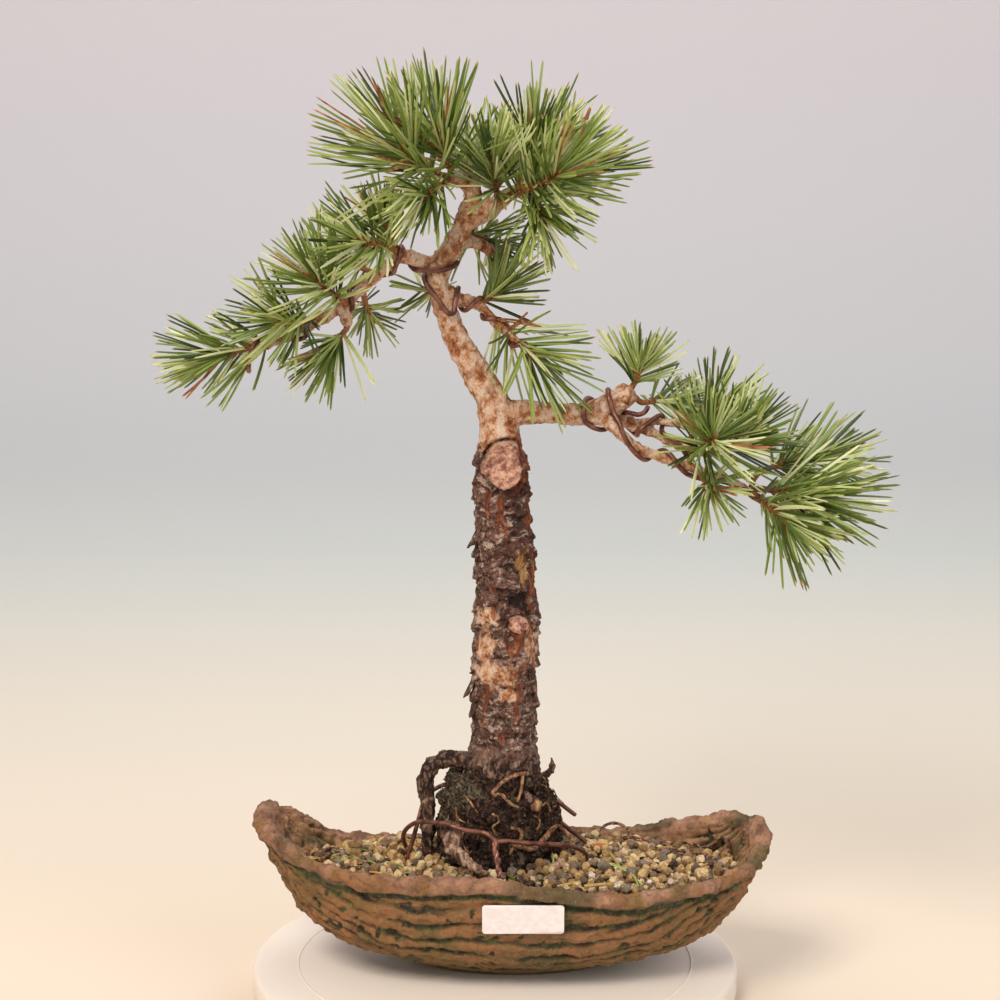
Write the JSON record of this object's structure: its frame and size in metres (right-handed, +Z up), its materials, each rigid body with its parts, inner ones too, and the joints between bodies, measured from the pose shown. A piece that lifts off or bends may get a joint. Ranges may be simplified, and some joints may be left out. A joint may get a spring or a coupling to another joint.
{
  "type": "potted pine bonsai",
  "caption": "Wired pine bonsai with a bare upright trunk, needle tufts and a root ball tied into a boat-shaped stoneware pot of gravel soil.",
  "frame": {"origin": "centre of the pot's flat foot, on the surface that the pot stands on", "axes": "+Z up; +X along the pot's length, to the right when seen from its front; -Y towards the front"},
  "size_m": [0.3543, 0.1328, 0.4488],
  "materials": {
    "stoneware": "matte",
    "gravel": "matte",
    "root_mass": "matte",
    "bark": "matte",
    "needles": "satin",
    "copper_wire": "satin",
    "plastic_mesh": "matte",
    "paper": "matte",
    "dead_wood": "matte"
  },
  "bodies": {
    "root": {"pot": "stoneware", "drain_screen_left": "plastic_mesh", "screen_staple_left": "copper_wire", "drain_screen_right": "plastic_mesh", "screen_staple_right": "copper_wire", "tree_wood": "bark", "root_ball": "root_mass", "soil": "gravel", "tie_wire": "copper_wire", "tie_wire_rear": "copper_wire", "tie_wire_end": "copper_wire", "training_wire_left": "copper_wire", "training_wire_lower_right": "copper_wire", "training_wire_upper_right": "copper_wire", "needles_crown_left": "needles", "needles_crown_up": "needles", "needles_crown_hanging": "needles", "needles_crown_back": "needles", "needles_top_front": "needles", "needles_top_middle": "needles", "needles_top_right": "needles", "needles_top_low": "needles", "needles_top_inner": "needles", "needles_top_back": "needles", "needles_rear_low": "needles", "needles_inner_upper": "needles", "needles_inner_lower": "needles", "needles_inner_left": "needles", "needles_left_bud": "needles", "needles_left_upper": "needles", "needles_left_back": "needles", "needles_left_front": "needles", "needles_left_tip": "needles", "needles_left_middle": "needles", "needles_left_hanging": "needles", "needles_left_rear": "needles", "needles_right_crown": "needles", "needles_right_bud": "needles", "needles_right_star": "needles", "needles_right_upper": "needles", "needles_right_middle": "needles", "needles_right_tip_upper": "needles", "needles_right_tip": "needles", "needles_right_lower": "needles", "needles_right_hanging": "needles", "needles_right_stub": "needles", "label": "paper", "dead_twig_right": "dead_wood", "dead_twig_rear": "dead_wood", "dead_root_loop": "dead_wood", "dead_twig_left": "dead_wood"}
  },
  "joints": []
}
